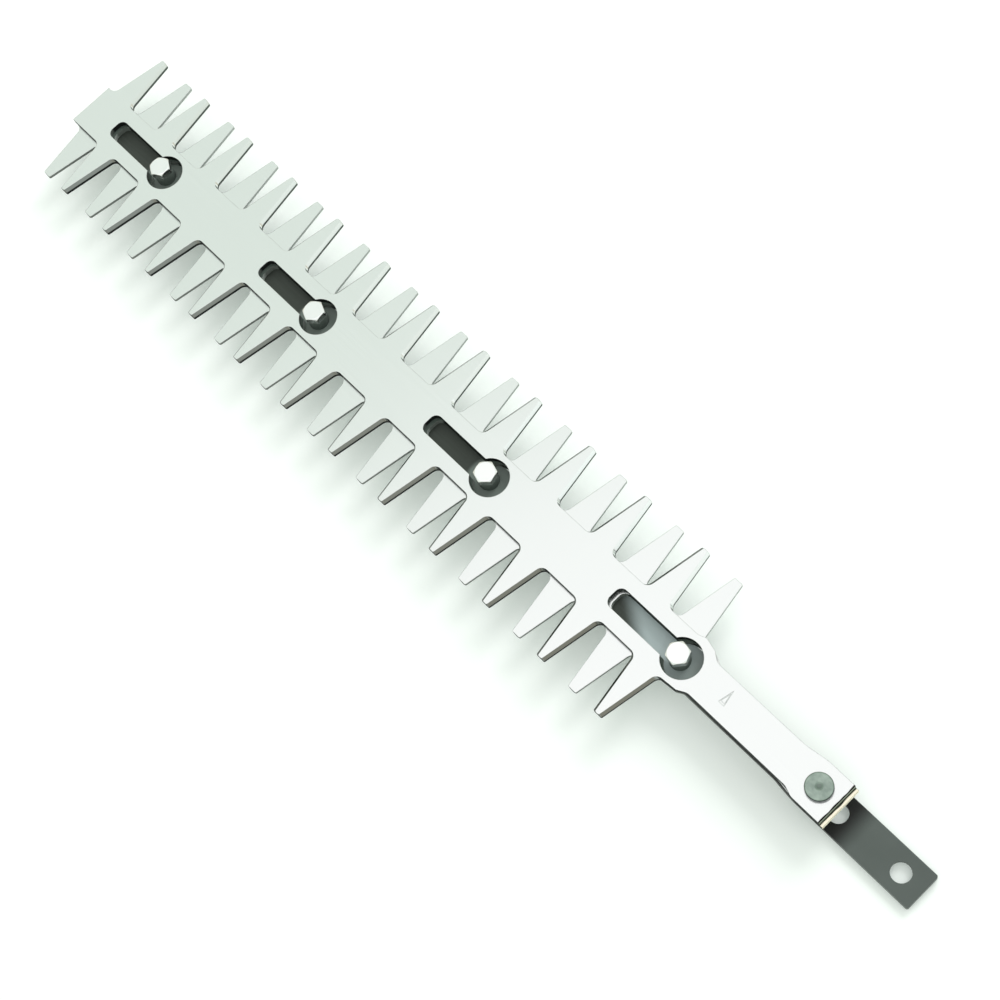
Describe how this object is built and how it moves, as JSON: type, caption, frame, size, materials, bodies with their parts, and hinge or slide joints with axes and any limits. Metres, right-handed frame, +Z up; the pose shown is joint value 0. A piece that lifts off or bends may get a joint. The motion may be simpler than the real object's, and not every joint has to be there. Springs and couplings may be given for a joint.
{
  "type": "hedge trimmer blade",
  "caption": "Double-sided hedge trimmer blade: paired toothed steel cutters sliding on a dark guide bar, kept by hex bolts in keyhole slots, with drive studs on their tangs.",
  "frame": {"origin": "midway between the two fixing holes of the guide bar's tail, on its underside", "axes": "+X along the blade towards its tip, +Y to its left, +Z up through the bolts"},
  "size_m": [0.4597, 0.0682, 0.0195],
  "materials": {
    "ground_steel": "ground, satin",
    "rivet_steel": "forged, satin",
    "black_oxide_steel": "black oxide, satin",
    "plated_steel": "bright zinc plate",
    "sleeve_steel": "turned, oiled",
    "nylon": "moulded"
  },
  "bodies": {
    "guide_bar": {"guide_bar": "black_oxide_steel", "guide_bolt_1": "plated_steel", "spacer_sleeve_1": "sleeve_steel", "lock_nut_1": "plated_steel", "nylon_insert_1": "nylon", "guide_bolt_2": "plated_steel", "spacer_sleeve_2": "sleeve_steel", "lock_nut_2": "plated_steel", "nylon_insert_2": "nylon", "guide_bolt_3": "plated_steel", "spacer_sleeve_3": "sleeve_steel", "lock_nut_3": "plated_steel", "nylon_insert_3": "nylon", "guide_bolt_4": "plated_steel", "spacer_sleeve_4": "sleeve_steel", "lock_nut_4": "plated_steel", "nylon_insert_4": "nylon"},
    "upper_blade": {"upper_blade": "ground_steel", "upper_drive_stud": "rivet_steel"},
    "lower_blade": {"lower_blade": "ground_steel", "lower_drive_stud": "rivet_steel"}
  },
  "joints": [
    {"name": "upper_blade_slide", "type": "slide", "parent": "guide_bar", "child": "upper_blade", "axis": [1, 0, 0], "range_m": [-0.0285, 0.0048]},
    {"name": "lower_blade_slide", "type": "slide", "parent": "guide_bar", "child": "lower_blade", "axis": [1, 0, 0], "range_m": [-0.0271, 0.0062]}
  ]
}
